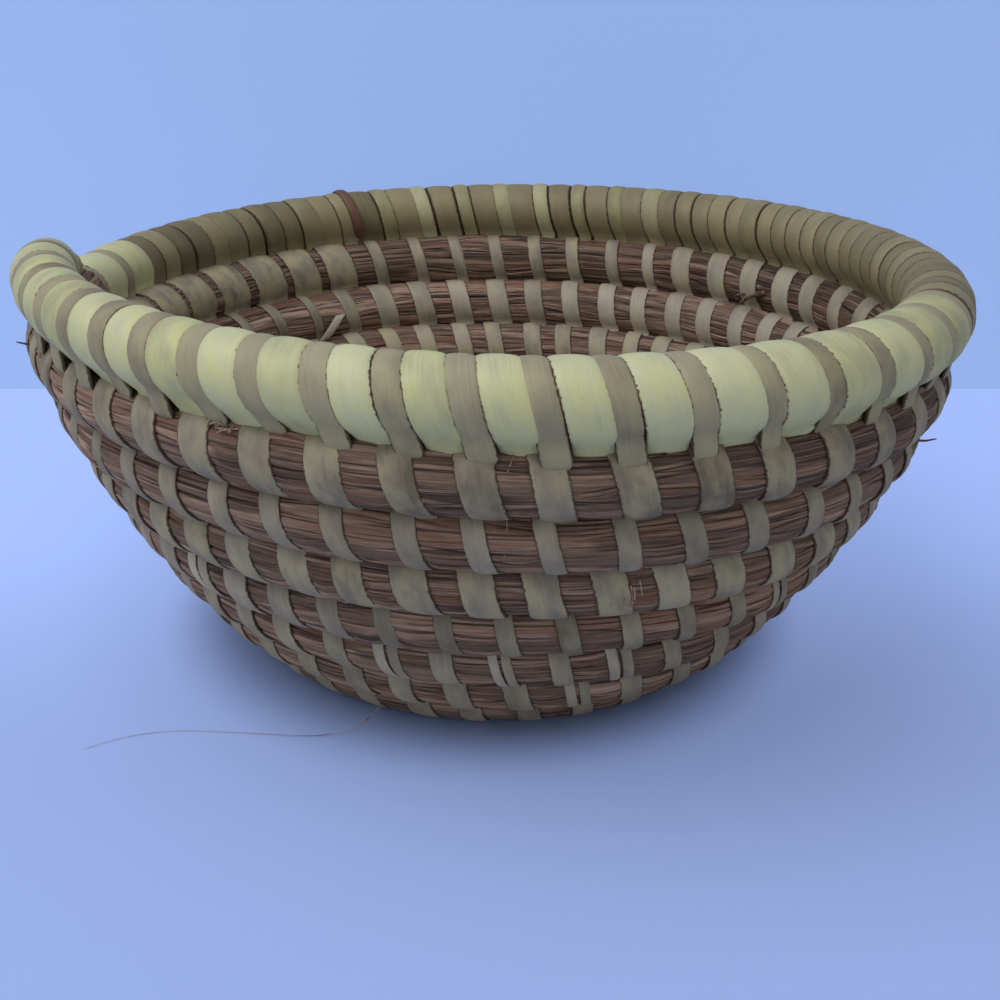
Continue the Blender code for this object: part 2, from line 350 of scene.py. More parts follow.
# The stitches and the strips that make them
sewing = {
    "strips": 22, "pitch": 11.4, "basePitch": 15.0, "mostPerTurn": 48, "leastPerTurn": 12,
    "lap": 21.0, "lapSpread": 3.0, "innerLap": 19.0, "height": 0.30, "lapHeight": 0.75,
    "thickness": 0.42, "crown": 0.22, "curl": 0.16, "slant": 3.6, "innerSlant": 3.4,
    "shiftSpread": 0.35, "slantSpread": 0.45, "widthSpread": 0.05, "toneSpread": 0.08,
    "goldSpread": 0.1, "cut": (0.1, 0.4), "waver": 0.03, "coverEdge": 0.35,
    "mostOfTopRoom": 0.92, "mostOfRoom": 0.64,
    "splitFrom": 3.0, "splitTo": 6.0, "splitShare": 0.16, "splitWidth": 0.48, "splitApart": 0.3,
    "splitPaler": 0.3, "splitCrown": 0.15,
    # Width by turns down from the rim's end
    "widths": ((0.0, 7.2), (0.45, 6.7), (0.66, 6.2), (0.67, 3.9), (0.83, 3.9), (0.845, 10.4),
               (0.99, 10.4), (1.0, 4.9), (1.45, 4.8), (1.55, 5.6), (1.83, 5.8), (1.85, 3.2),
               (1.99, 3.4), (2.0, 6.6), (2.1, 7.1), (2.45, 7.0), (2.6, 5.6), (2.95, 5.4),
               (3.0, 5.6), (3.05, 6.4), (3.17, 6.4), (3.22, 4.2), (3.95, 4.2), (4.0, 5.8),
               (4.18, 5.6), (4.25, 4.7), (4.95, 4.8), (5.0, 5.4), (7.0, 5.8)),
    # Leaf colour the same way, from brown at 0 to pale at 1
    "tones": ((0.0, 0.32), (0.5, 0.38), (0.56, 0.7), (0.66, 0.72), (0.67, 0.6), (0.83, 0.5),
              (0.85, 0.42), (0.99, 0.42), (1.0, 0.45), (1.45, 0.45), (1.55, 0.75), (1.83, 0.72),
              (1.85, 0.4), (1.99, 0.4), (2.0, 0.58), (2.45, 0.58), (2.6, 0.7), (2.95, 0.65),
              (3.0, 0.7), (3.17, 0.7), (3.22, 0.33), (3.5, 0.35), (4.0, 0.55), (5.0, 0.5),
              (7.0, 0.5)),
    # How yellow the leaf is, the same way
    "golds": ((0.0, 0.5), (0.83, 0.35), (0.85, 0.9), (0.99, 0.9), (1.0, 0.15), (1.95, 0.3),
              (2.0, 0.75), (2.95, 0.7), (3.0, 0.0), (4.0, 0.2), (7.0, 0.3)),
}


# From the rim's end down to the first turn, which needs no stitch
def stitchBorders():
    turns = [turnsInAll]
    while turns[-1] > 1.0:
        inWall = route["pitch"] * turns[-1] > route["baseReach"]
        spacing = sewing["pitch"] if inWall else sewing["basePitch"]
        step = max(spacing / girthOf(turns[-1]), 1 / sewing["mostPerTurn"])
        turns.append(turns[-1] - min(step, 1 / sewing["leastPerTurn"]))
    return np.array(turns[::-1])


borderTurn = stitchBorders()
stitchTurn = 0.5 * (borderTurn[1:] + borderTurn[:-1])
stitches = len(stitchTurn)
fromRim = turnsInAll - stitchTurn
stitchShift = luck.normal(0.0, sewing["shiftSpread"], stitches)
stitchSlant = sewing["slant"] + luck.normal(0.0, sewing["slantSpread"], stitches)
stitchWidth = readAt(sewing["widths"], fromRim) * luck.normal(1.0, sewing["widthSpread"], stitches)
stitchTone = readAt(sewing["tones"], fromRim) + luck.normal(0.0, sewing["toneSpread"], stitches)
stitchGold = readAt(sewing["golds"], fromRim) + luck.normal(0.0, sewing["goldSpread"], stitches)
mostOfRoom = np.where(fromRim < 1.0, sewing["mostOfTopRoom"], sewing["mostOfRoom"])
stitchWidth = np.minimum(stitchWidth, mostOfRoom * girthOf(stitchTurn) * np.diff(borderTurn))
mayBeSplit = (fromRim > sewing["splitFrom"]) & (fromRim < sewing["splitTo"])
stitchSplit = mayBeSplit & (luck.uniform(0, 1, stitches) < sewing["splitShare"])


# How far each place on the bundle is covered by a stitch, from 0 to 1
def stitchCover(turn, phi):
    index = np.clip(np.searchsorted(stitchTurn, turn), 1, stitches - 1)
    upTheOutside = 0.5 * sewing["slant"] * np.sin(phi)
    overTheInside = 0.5 * sewing["slant"] + 0.5 * sewing["innerSlant"] * (1.0 - np.sin(phi))
    lean = np.where(np.cos(phi) > 0, upTheOutside, overTheInside)
    cover = np.zeros(phi.shape)
    for near in (index - 1, index):
        away = (turn - stitchTurn[near]) * girthOf(turn) - stitchShift[near]
        past = np.abs(away[:, None] - lean) - 0.5 * stitchWidth[near][:, None]
        cover = np.maximum(cover, 1.0 / (1.0 + np.exp(past / sewing["coverEdge"])))
    return cover


# A leaf strip's section, from edge to edge, and which of its points return on the underside
ribbon = {"across": np.array([-1.0, -0.93, -0.78, -0.5, -0.2, 0.1, 0.42, 0.7, 0.9, 1.0]),
          "under": [0, 3, 6, 9], "curlPower": 9, "seedApart": 37.0}


# Sweeps the section along a route. The shape gives thickness, crown and how far the edges curl
def sweepStrip(points, ahead, width, tone, gold, bias, shape, seed):
    tangent = unit(np.gradient(points, axis=0))
    across = unit(ahead)
    normal = unit(np.cross(tangent, across))
    x = ribbon["across"]
    height = shape["crown"] * (1.0 - x ** 2) - shape["curl"] * np.abs(x) ** ribbon["curlPower"]
    sideways = across[:, None] * (0.5 * width[:, None] * x)[..., None]
    backwards = tangent[:, None] * (bias[:, None] * x)[..., None]
    over = points[:, None] + sideways + normal[:, None] * height[None, :, None] - backwards
    under = over[:, ::-1][:, ribbon["under"]] - normal[:, None] * shape["thickness"]
    ring = np.concatenate([over, under], axis=1)
    rings, around = ring.shape[:2]
    faces = [face[::-1] for face in gridFaces(rings, around)]
    faces.append(list(range(around)))
    faces.append([(rings - 1) * around + corner for corner in range(around)][::-1])
    acrossAll = np.concatenate([x, x[::-1][ribbon["under"]]])
    grain = np.stack([np.repeat(lengthAlong(points)[:, None], around, 1),
                      0.5 * width[:, None] * acrossAll[None, :],
                      np.full((rings, around), seed * ribbon["seedApart"])], axis=-1)
    return {"points": ring.reshape(-1, 3), "faces": faces, "marks": {
        "grain": grain.reshape(-1, 3), "edge": np.tile(acrossAll, rings),
        "tone": np.repeat(np.broadcast_to(tone, (rings,)), around),
        "gold": np.repeat(np.broadcast_to(gold, (rings,)), around)}}


def joinRows(rows):
    return [np.concatenate(column) for column in zip(*rows)]


# One loop of a strip: up the outside, over the top, down the inside, then through the course below
loopShape = {
    "from": -42.0, "to": 222.0, "steps": 25, "easing": 0.45, "innerLift": 0.8, "byHeight": 0.6,
    # Degrees beyond the lap and height over the course below, where the strip dips into it
    "dipIn": ((-4.0, -2.2), (2.0, -0.4), (1.5, 0.35)),
    "dipOut": ((1.5, 0.3), (2.0, -0.5), (-4.0, -2.2)),
    "dipWidths": (0.75, 0.9, 0.97),
}
lapRow, topRow, innerLapRow = 3, 17, 31
cutShape = np.zeros(loopShape["steps"] + 10)   # how much of a lap's angled cut each row takes
cutShape[:9] = (1.0, 1.0, 1.0, 1.0, 0.7, 0.4, 0.2, 0.1, 0.03)


# How far each row has come from one row of the loop to another
def shareBetween(length, tall, first, last):
    byLength = (length - length[first]) / (length[last] - length[first])
    byHeight = (tall - tall[first]) / (tall[last] - tall[first])
    return (1.0 - loopShape["byHeight"]) * byLength + loopShape["byHeight"] * byHeight


def loopAround(turn, frameAt, lowPoint, halves, lowRadius, height, lapHeight, lap, innerLap):
    centre, ahead, out, up = frameAt(np.array([turn]))
    offset = lowPoint - centre[0]
    low = np.array([offset @ out[0], offset @ up[0]])
    towards = unit(-low)
    aside = np.array([towards[1], -towards[0]])

    def lower(degrees, lift):
        angle = math.radians(degrees)
        return low + (lowRadius + lift) * (towards * math.cos(angle) + aside * math.sin(angle))

    arc = np.linspace(loopShape["from"], loopShape["to"], loopShape["steps"])
    arc = np.radians(arc) + math.atan2(-towards[0], towards[1])
    own = np.stack([(halves[0] + height) * np.cos(arc), (halves[1] + height) * np.sin(arc)], axis=1)
    lapOut, lapIn = lower(lap, lapHeight), lower(-innerLap, lapHeight * loopShape["innerLift"])
    easing = loopShape["easing"]
    loop = [lower(lap + beyond, lift) for beyond, lift in loopShape["dipIn"]]
    loop += [lapOut, easing * lapOut + (1.0 - easing) * own[0], *own]
    loop += [easing * lapIn + (1.0 - easing) * own[-1], lapIn]
    loop += [lower(-innerLap - beyond, lift) for beyond, lift in loopShape["dipOut"]]
    loop = np.array(loop)
    length, tall = lengthAlong(loop), loop[:, 1]
    outer = np.clip(shareBetween(length, tall, lapRow, topRow), 0.0, 1.0)
    inner = np.clip(shareBetween(length, tall, topRow, innerLapRow), 0.0, 1.0)
    outer[topRow + 1:] = 1.0
    inner[:topRow + 1] = 0.0
    shown = np.ones(len(loop))
    shown[:3] = loopShape["dipWidths"]
    shown[-3:] = loopShape["dipWidths"][::-1]
    return loop, outer, inner, shown


def stitchLoop(index):
    turn = stitchTurn[index]
    below = max(turn - 1.0, 0.0)
    lowRadius = 0.5 * sum(halfSizes(below))
    lap = sewing["lap"] + luck.uniform(-sewing["lapSpread"], sewing["lapSpread"])
    places, outer, inner, shown = loopAround(
        turn, coilFrame, coilPoint(np.array([below]))[0], halfSizes(turn), lowRadius,
        sewing["height"], sewing["lapHeight"], lap, sewing["innerLap"])
    outwards = stitchSlant[index] * (outer - 0.5) + sewing["innerSlant"] * inner
    outwards = stitchShift[index] + outwards
    loops = []
    for side in ((-1.0, 1.0) if stitchSplit[index] else (0.0,)):
        spread = side * (0.25 * stitchWidth[index] + sewing["splitApart"] * outer * (side > 0))
        centre, ahead, out, up = coilFrame(turn + (outwards + spread) / girthOf(turn))
        loops.append((centre + out * places[:, :1] + up * places[:, 1:], ahead, shown))
    return loops


# The slightly uneven width of a split leaf
def fibreWave(count, size):
    wave = np.cumsum(luck.normal(0.0, 1.0, count))
    wave -= np.linspace(wave[0], wave[-1], count)
    return 1.0 + size * np.sin(wave * 0.6)


# Finishes
def tint(red, green, blue):
    return tuple(((part / 255 + 0.055) / 1.055) ** 2.4 for part in (red, green, blue)) + (1.0,)


# A shader socket that takes part in plain arithmetic
class Wire:
    def __init__(self, finish, socket):
        self.finish, self.socket = finish, socket

    def join(self, operation, *terms):
        return self.finish.node("Math", {"operation": operation}, dict(enumerate(terms)))

    def __add__(self, other):
        return self.join("ADD", self, other)

    def __radd__(self, other):
        return self.join("ADD", other, self)

    def __sub__(self, other):
        return self.join("SUBTRACT", self, other)

    def __rsub__(self, other):
        return self.join("SUBTRACT", other, self)

    def __mul__(self, other):
        return self.join("MULTIPLY", self, other)

    def __rmul__(self, other):
        return self.join("MULTIPLY", other, self)


# One material and its nodes
class Finish:
    def __init__(self, name, roughness):
        self.material = bpy.data.materials.new(name)
        self.material.use_nodes = True
        self.tree = self.material.node_tree
        self.shader = self.tree.nodes["Principled BSDF"]
        self.shader.inputs["Roughness"].default_value = roughness
        self.shader.inputs["Specular IOR Level"].default_value = 0.35

    def node(self, kind, settings, values, output=0):
        made = self.tree.nodes.new("ShaderNode" + kind)
        for key, value in settings.items():
            if key == "stops":
                stops = made.color_ramp.elements
                stops.remove(stops[1])
                stops[0].position, stops[0].color = value[0]
                for place, colour in value[1:]:
                    stops.new(place).color = colour
            else:
                setattr(made, key, value)
        for key, value in values.items():
            self.feed(made.inputs[key], value)
        return Wire(self, made.outputs[output])

    def feed(self, socket, value):
        if isinstance(value, Wire):
            self.tree.links.new(value.socket, socket)
        else:
            socket.default_value = value

    def mark(self, name, output="Fac"):
        return self.node("Attribute", {"attribute_name": name}, {}, output)

    def noise(self, where, stretch, detail, roughness=0.5):
        spread = self.node("VectorMath", {"operation": "MULTIPLY"}, {0: where, 1: stretch})
        return self.node("TexNoise", {}, {"Vector": spread, "Scale": 1.0, "Detail": detail,
                                          "Roughness": roughness})

    def ramp(self, share, *stops):
        return self.node("ValToRGB", {"stops": stops}, {"Fac": share})

    def range(self, value, low, high):
        return self.node("MapRange", {"interpolation_type": "SMOOTHSTEP"}, {
            "Value": value, "From Min": low, "From Max": high})

    def mix(self, share, first, second):       # 6 and 7 are the colours, and output 2 theirs
        return self.node("Mix", {"data_type": "RGBA"}, {0: share, 6: first, 7: second}, 2)

    def finishWith(self, colour, height, depth, roughness):
        self.feed(self.shader.inputs["Base Color"], colour)
        bump = self.node("Bump", {}, {"Height": height, "Strength": 1.0, "Distance": depth * mm})
        self.feed(self.shader.inputs["Normal"], bump)
        self.feed(self.shader.inputs["Roughness"], roughness)
        return self.material


# Stretch along and across the stems, detail and roughness of each noise
stemNoises = (((0.05, 2.6, 2.6), 3.0, 0.6), ((0.02, 0.35, 0.35), 2.0, 0.5),
              ((0.35, 1.5, 1.5), 3.0, 0.65), ((0.035, 1.9, 1.9), 1.0, 0.4),
              ((0.045, 3.4, 3.4), 1.0, 0.4))
# In stemLook, the hollow colour and its strength paint shade into the valleys between the stems
stemLook = {"roughness": 0.62, "dullness": 0.25, "bump": 0.35, "redPatches": 0.55, "shine": 0.5,
            "splits": 0.75, "hollowShading": 0.85, "pale": tint(176, 150, 138),
            "paintedHighlight": tint(172, 150, 138), "split": tint(44, 32, 28), "hollow": tint(34, 24, 20)}


def grassFinish(name, dark, mid, light, red):
    made = Finish(name, stemLook["roughness"])
    grain, tone, hollow = made.mark("grain", "Vector"), made.mark("tone"), made.mark("hollow")
    fibre, broad, flecks, splits, shine = [made.noise(grain, *noise) for noise in stemNoises]
    share = tone * 0.38 + fibre * 0.62 + flecks * 0.3 - 0.17
    colour = made.ramp(share, (0.18, tint(*dark)), (0.46, tint(*mid)), (0.64, tint(*light)),
                       (0.82, stemLook["pale"]))
    for mask, strength, over in (
            (made.range(broad, 0.5, 0.68), stemLook["redPatches"], tint(*red)),
            # Pale streaks painted on as highlights along the stems
            (made.range(shine, 0.6, 0.72), stemLook["shine"], stemLook["paintedHighlight"]),
            (made.range(splits, 0.6, 0.66), stemLook["splits"], stemLook["split"]),
            # Painted shade darkens the valleys between the stems
            (made.range(hollow, 0.35, 0.95), stemLook["hollowShading"], stemLook["hollow"])):
        colour = made.mix(mask * strength, colour, over)
    height = fibre * 0.6 + flecks * 0.4 - made.range(splits, 0.58, 0.66) * 0.8
    roughness = stemLook["roughness"] + fibre * stemLook["dullness"]
    return made.finishWith(colour, height, stemLook["bump"], roughness)


brownGrass = grassFinish("brown_grass_stems", (68, 54, 47), (110, 91, 80), (143, 119, 105),
                         (114, 76, 60))
rimGrass = grassFinish("rim_grass_stems", (66, 48, 42), (108, 84, 72), (139, 111, 97),
                       (104, 68, 58))

# Leaf colours from dark to light, the yellow in them, the worn edge and where it begins
leafLooks = {
    "olive_leaf_strip": {
        "dark": (95, 88, 75), "mid": (137, 130, 120), "light": (180, 174, 161),
        "gold": (156, 150, 120), "edge": (62, 38, 32), "edgeStart": 0.915,
        "roughness": 0.55, "veins": 2.6, "bump": 0.18},
    "cream_leaf_strip": {
        "dark": (147, 148, 112), "mid": (182, 186, 153), "light": (203, 208, 182),
        "gold": (188, 188, 122), "edge": (80, 62, 46), "edgeStart": 0.945,
        "roughness": 0.45, "veins": 2.2, "bump": 0.13,
        "oldShadedDark": (102, 96, 72), "oldShadedLight": (146, 140, 109)},
    "tan_leaf_strip": {
        "dark": (114, 105, 85), "mid": (145, 140, 119), "light": (170, 165, 142),
        "gold": (154, 149, 114), "edge": (58, 42, 34), "edgeStart": 0.89,
        "roughness": 0.5, "veins": 2.6, "bump": 0.18,
        "oldShadedDark": (98, 91, 68), "oldShadedLight": (138, 131, 102)},
    "red_leaf_strip": {
        "dark": (72, 48, 41), "mid": (98, 69, 58), "light": (124, 95, 82),
        "gold": (128, 100, 76), "edge": (60, 38, 32), "edgeStart": 0.93,
        "roughness": 0.5, "veins": 2.6, "bump": 0.2},
}
leafWear = {"stain": 0.3, "edge": 0.85, "edgeSoft": 0.05, "ragged": 0.3, "oldEdge": 0.055,
            "leastGold": 0.15, "shine": 0.1, "dullness": 0.2}


def leafFinish(name):
    look = leafLooks[name]
    made = Finish(name, look["roughness"])
    grain, tone = made.mark("grain", "Vector"), made.mark("tone")
    fibre = made.noise(grain, (0.06, look["veins"], 1.0), 3.0, 0.6)
    cloud = made.noise(grain, (0.13, 0.22, 1.0), 2.0)
    spots = made.noise(grain, (0.5, 0.5, 1.0), 4.0, 0.65)
    ragged = made.noise(grain, (1.1, 0.7, 1.0), 2.0, 0.6)
    share = tone * 0.55 + fibre * 0.3 + cloud * 0.4 - 0.16
    colour = made.ramp(share, (0.2, tint(*look["dark"])), (0.5, tint(*look["mid"])),
                       (0.82, tint(*look["light"])))
    yellow = made.range(cloud * 0.8 + spots * 0.3, 0.42, 0.72)
    yellow = yellow * (made.mark("gold") + leafWear["leastGold"])
    colour = made.mix(yellow, colour, tint(*look["gold"]))
    nearEdge = made.node("Math", {"operation": "ABSOLUTE"}, {0: made.mark("edge")})
    # Older wraps take a darker colour, partly their own and partly shade painted where they run
    # round the back of the rim
    if "oldShadedDark" in look:
        age = made.mark("age")
        old = made.ramp(share, (0.2, tint(*look["oldShadedDark"])), (0.8, tint(*look["oldShadedLight"])))
        colour = made.mix(age, colour, old)
        nearEdge = nearEdge + age * leafWear["oldEdge"]
    stain = made.range(spots, 0.6, 0.78)
    colour = made.mix(stain * leafWear["stain"], colour, tint(*look["dark"]))
    worn = made.range(nearEdge + (ragged - 0.5) * leafWear["ragged"], look["edgeStart"],
                      look["edgeStart"] + leafWear["edgeSoft"])
    colour = made.mix(worn * leafWear["edge"], colour, tint(*look["edge"]))
    roughness = look["roughness"] - leafWear["shine"] + fibre * leafWear["dullness"]
    return made.finishWith(colour, fibre * 0.8 + spots * 0.2, look["bump"], roughness)


oliveLeaf, creamLeaf, tanLeaf, redLeaf = [leafFinish(name) for name in leafLooks]
print("finishes ready")

coilTurns = (grass["coilOver"], turnsInAll + grass["coilOver"])
coilPart = grassBundle(coilFrame, halfSizes, coilTurns, grass["coilUneven"], stitchCover)
makePiece("stem_coil", [coilPart], brownGrass, ["foundation_coil"])
print("foundation coil laid")

# The sewing strips. A split stitch keeps one half on the strip and adds the other half
halfStitch = {**sewing, "crown": sewing["splitCrown"]}
cuts = [round(stitches * strip / sewing["strips"]) for strip in range(sewing["strips"] + 1)]
for strip in range(sewing["strips"]):
    rows, halves = [], []
    for index in range(cuts[strip], cuts[strip + 1]):
        cut = luck.normal(*sewing["cut"]) * cutShape
        tone, gold = stitchTone[index], stitchGold[index]
        width = stitchWidth[index] * (sewing["splitWidth"] if stitchSplit[index] else 1.0)
        for place, (loop, heading, shown) in enumerate(stitchLoop(index)):
            wide = width * shown * fibreWave(len(loop), sewing["waver"])
            if place == 0:
                rows.append((loop, heading, wide, np.full(len(loop), tone),
                             np.full(len(loop), gold), cut))
            else:
                halves.append(sweepStrip(loop, heading, wide, tone + sewing["splitPaler"], 0.0,
                                         cut, halfStitch, index))
    swept = sweepStrip(*joinRows(rows), sewing, strip + 1)
    node = f"sewing_strip_{strip + 1:02d}"
    makePiece(f"leaf_{node}", [swept] + halves, oliveLeaf, [node])
print("sewing strips sewn")

rimTurns = (turnsInAll + grass["rimFrom"], turnsInAll + grass["rimTo"])
rimPart = grassBundle(rimFrame, rimSizes, rimTurns, grass["rimUneven"])
makePiece("rim_stem_coil", [rimPart], rimGrass, ["rim_coil"])

# The rim's whipping, in pairs of a cream and a tan wrap
whipping = {
    "pairs": 51, "phase": 0.156, "height": 0.95, "lapHeight": 1.15, "lap": 23.0, "lapSpread": 4.0,
    "innerLap": 20.0, "slant": 4.2, "slantSpread": 0.15, "innerSlant": 3.8, "lastWrap": 0.006,
    "thickness": 0.5, "crown": 0.3, "curl": 0.3, "waver": 0.02, "widthSpread": 0.03,
    "longerSpread": 0.16, "cut": (0.7, 0.5), "golds": (0.1, 0.5), "seed": 50,
    # How much darker the fresh wraps are, along the rim
    "shades": ((0.56, 0.0), (0.57, 0.22), (0.7, 0.0), (0.82, 0.0), (0.92, 0.3)),
}
wraps = {
    "cream": {"strips": 5, "more": 2, "shift": 0.5, "drop": 0.0, "longer": 0.0,
              "finish": creamLeaf, "slot": "cream_leaf"},
    "tan": {"strips": 4, "more": 1, "shift": 0.0, "drop": 0.14, "longer": 13.0,
            "finish": tanLeaf, "slot": "tan_leaf"},
}
# Along the rim: how old the wraps look, which also paints shade into their darker colour round the
# back, how much of the room each takes, and their tone
zones = {
    "share": (0.0, 0.016, 0.02, 0.05, 0.054, 0.165, 0.17, 0.31,
              0.33, 0.475, 0.49, 0.56, 0.566, 0.66, 0.72, 1.0),
    "creamAge": (0.8, 0.8, 0.0, 0.0, 1.0, 1.0, 0.68, 0.68, 1.0, 1.0, 1.0, 1.0, 0.0, 0.0, 0.0, 0.0),
    "tanAge": (0.3, 0.3, 0.0, 0.0, 1.0, 1.0, 0.95, 0.95, 0.9, 0.9, 1.0, 1.0, 0.0, 0.0, 0.0, 0.0),
    "creamWidth": (0.5, 0.5, 0.84, 0.84, 0.52, 0.52, 0.4, 0.38,
                   0.51, 0.53, 0.5, 0.5, 0.74, 0.72, 0.62, 0.62),
    "tanWidth": (0.5, 0.5, 0.3, 0.3, 0.52, 0.52, 0.64, 0.66,
                 0.52, 0.52, 0.5, 0.5, 0.33, 0.34, 0.43, 0.43),
    "toneSpread": (0.7, 0.7, 0.4, 0.4, 1.0, 1.0, 1.0, 1.0,
                   0.5, 0.5, 0.4, 0.4, 0.4, 0.4, 0.4, 0.4),
    "tone": (0.5, 0.5, 0.55, 0.55, 0.52, 0.52, 0.55, 0.55,
             0.6, 0.6, 0.55, 0.5, 0.55, 0.55, 0.55, 0.55),
}


def zoneAt(share, key):
    return float(np.interp(share, zones["share"], zones[key]))


def whipLoop(place, height, lapHeight, longer=0.0):
    share = place / whipping["pairs"]
    turn = turnsInAll - 1.0 + share
    radius = float(rimRadius(share))
    ease = luck.uniform(-whipping["lapSpread"], whipping["lapSpread"])
    lap = whipping["lap"] + ease + longer * (1.0 + whipping["longerSpread"] * ease)
    lowRadius = 0.5 * sum(halfSizes(min(turn, turnsInAll)))
    places, outer, inner, shown = loopAround(
        turn, rimFrame, coilPoint(np.array([turn]))[0], (radius, radius), lowRadius,
        height, lapHeight, lap, whipping["innerLap"])
    moved = whipping["slant"] * (outer - 0.5) + whipping["innerSlant"] * inner
    moved = moved + luck.normal(0.0, whipping["slantSpread"])
    turns = np.minimum(turn + moved / girthOf(turnsInAll), turnsInAll + whipping["lastWrap"])
    centre, ahead, out, up = rimFrame(turns)
    points = centre + out * places[:, :1] + up * places[:, 1:]
    room = circle * np.linalg.norm(points[:, :2] - np.array(route["moved"]), axis=1)
    return points, ahead, shown, room / whipping["pairs"]


for label, wrap in wraps.items():
    places = np.arange(whipping["pairs"] + wrap["more"]) + wrap["shift"] - whipping["phase"]
    edges = [round(len(places) * strip / wrap["strips"]) for strip in range(wrap["strips"] + 1)]
    for strip in range(wrap["strips"]):
        rows = []
        for place in places[edges[strip]:edges[strip + 1]]:
            share = place / whipping["pairs"]
            age = zoneAt(share, label + "Age")
            loop, heading, shown, room = whipLoop(
                place, whipping["height"] - wrap["drop"], whipping["lapHeight"] - wrap["drop"],
                wrap["longer"] * (1.0 - age))
            spread = whipping["widthSpread"] * (1.0 + age)
            wide = zoneAt(share, label + "Width") * luck.normal(1.0, spread)
            wide = wide * room * shown * fibreWave(len(loop), whipping["waver"])
            tone = zoneAt(share, "tone") + luck.uniform(-0.5, 0.5) * zoneAt(share, "toneSpread")
            tone = tone - float(readAt(whipping["shades"], share))
            gold = luck.uniform(*whipping["golds"])
            cut = luck.normal(*whipping["cut"]) * cutShape
            rows.append((loop, heading, wide, np.full(len(loop), tone), np.full(len(loop), gold),
                         cut, np.full(len(loop), age)))
        *columns, agesAndShade = joinRows(rows)
        swept = sweepStrip(*columns, whipping, whipping["seed"] + strip + 10 * wrap["drop"])
        swept["marks"]["age"] = np.repeat(agesAndShade, len(swept["points"]) // len(agesAndShade))
        node = f"rim_{label}_strip_{strip + 1}"
        makePiece(f"leaf_{node}", [swept], wrap["finish"], [node])

# A reddish strip tied once round the rim at the back
knot = {"share": 0.166, "width": 3.2, "height": 1.8, "lapHeight": 1.7, "thickness": 0.6,
        "crown": 0.35, "curl": 0.3, "tone": 0.5, "seed": 91}
loop, heading, shown, _ = whipLoop(knot["share"] * whipping["pairs"], knot["height"],
                                   knot["lapHeight"])
tie = sweepStrip(loop, heading, knot["width"] * shown, knot["tone"], 0.0, np.zeros(len(loop)),
                 knot, knot["seed"])
makePiece("leaf_rim_knot", [tie], redLeaf, [])
print("rim whipped")

# Loose ends. A stop is turns down from the rim's end, degrees round the bundle, height over it
loose = {"sides": 5, "smoothing": 6, "rowsPerStop": 6, "taper": 0.45, "stub": 0.34,
         "thickStub": 0.8, "hair": 0.1, "straw": 2.2}
tuft = {"count": 11, "from": 0.179, "apart": 0.0011, "radius": 0.22, "tones": (1.2, 2.0)}
wornStitch = {"count": 6, "from": 2.303, "apart": 0.0012, "radius": 0.26, "tones": (1.3, 1.9)}
singleEnds = (
    (((0.062, 30, -0.5), (0.059, 28, 2.6)), loose["stub"], 0.1),
    (((1.442, 29, -0.5), (1.444, 26, 2.0), (1.441, 33, 4.2)), loose["stub"], 0.4),
    (((0.597, 196, -0.4), (0.603, 204, 1.6), (0.610, 222, 2.6)), loose["thickStub"], 0.2),
    (((0.606, 205, -0.4), (0.615, 212, 1.8), (0.613, 226, 1.0)), loose["stub"], 0.3),
    (((0.269, 72, 0.5), (0.265, 6, 0.75), (1.268, 66, 0.9), (1.267, 3, 0.75)), loose["hair"], 1.6),
)
strayHair = ((-21.7, -60.2, 5.0), (-27.0, -64.5, 0.9), (-36.0, -66.5, 0.35), (-51.0, -65.0, 0.3),
             (-68.0, -63.6, 0.3), (-79.0, -66.4, 0.3), (-86.3, -71.2, 0.3))
leafEnd = {"stops": ((1.842, 186, -0.3), (1.846, 200, 1.2), (1.851, 218, 2.2), (1.856, 236, 3.0)),
           "rows": 9, "heading": 1.85, "width": 3.4, "thickness": 0.4, "crown": 0.1,
           "curl": 0.16, "tone": 0.95, "bias": 0.9, "seed": 77}


def onCoil(back, degrees, lift):
    turn = np.array([turnsInAll - back])
    centre, ahead, out, up = coilFrame(turn)
    outHalf, upHalf = halfSizes(turn)
    angle = math.radians(degrees)
    outwards = out * (outHalf + lift) * math.cos(angle)
    return (centre + outwards + up * (upHalf + lift) * math.sin(angle))[0]


def pathThrough(stops, rows):
    stops = np.array(stops)
    place = np.linspace(0, len(stops) - 1, rows)
    return np.stack([np.interp(place, np.arange(len(stops)), stops[:, axis])
                     for axis in range(3)], axis=-1)


# A round fibre that thins towards its tip
def fibre(stops, radius, tone):
    path = pathThrough(stops, loose["rowsPerStop"] * len(stops))
    for _ in range(loose["smoothing"]):
        path[1:-1] = 0.25 * path[:-2] + 0.5 * path[1:-1] + 0.25 * path[2:]
    tangent = unit(np.gradient(path, axis=0))
    side = unit(np.cross(tangent, np.array([0.13, 0.21, 0.97])))
    top = np.cross(side, tangent)
    angle = (circle * np.arange(loose["sides"]) / loose["sides"])[None, :, None]
    thick = radius * np.linspace(1.0, loose["taper"], len(path))[:, None, None]
    ring = path[:, None] + thick * (side[:, None] * np.cos(angle) + top[:, None] * np.sin(angle))
    rings, around = ring.shape[:2]
    tip = [(rings - 1) * around + corner for corner in range(around)]
    corners = ring.reshape(-1, 3)
    return {"points": corners, "faces": gridFaces(rings, around) + [list(range(around))[::-1], tip],
            "marks": {"grain": corners, "hollow": np.zeros(len(corners)),
                      "tone": np.full(len(corners), tone)}}


